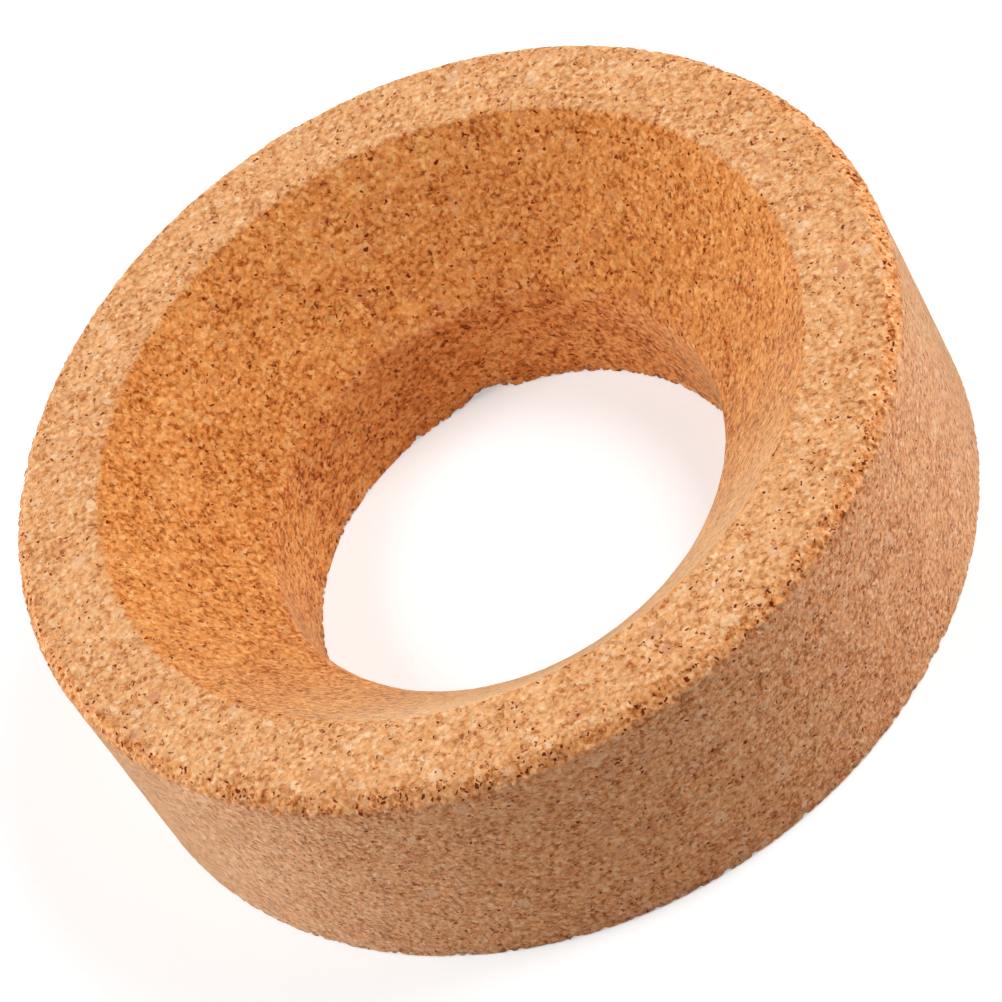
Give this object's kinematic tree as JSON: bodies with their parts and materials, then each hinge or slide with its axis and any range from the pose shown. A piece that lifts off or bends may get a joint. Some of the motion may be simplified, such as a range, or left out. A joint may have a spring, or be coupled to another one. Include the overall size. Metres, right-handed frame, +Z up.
{
  "type": "cork flask ring",
  "caption": "One-piece cork ring with a flat base and a conical seat over a straight bore, which stands round-bottomed flasks upright on a bench.",
  "frame": {"origin": "centre of the flat underside, on the ring's own axis", "axes": "+Z up along the ring's axis, from the underside to the rim; X and Y are free, because the ring is round"},
  "size_m": [0.11, 0.11, 0.0325],
  "materials": {
    "pressed_cork": "matte"
  },
  "bodies": {
    "root": {"cork_ring": "pressed_cork"}
  },
  "joints": []
}
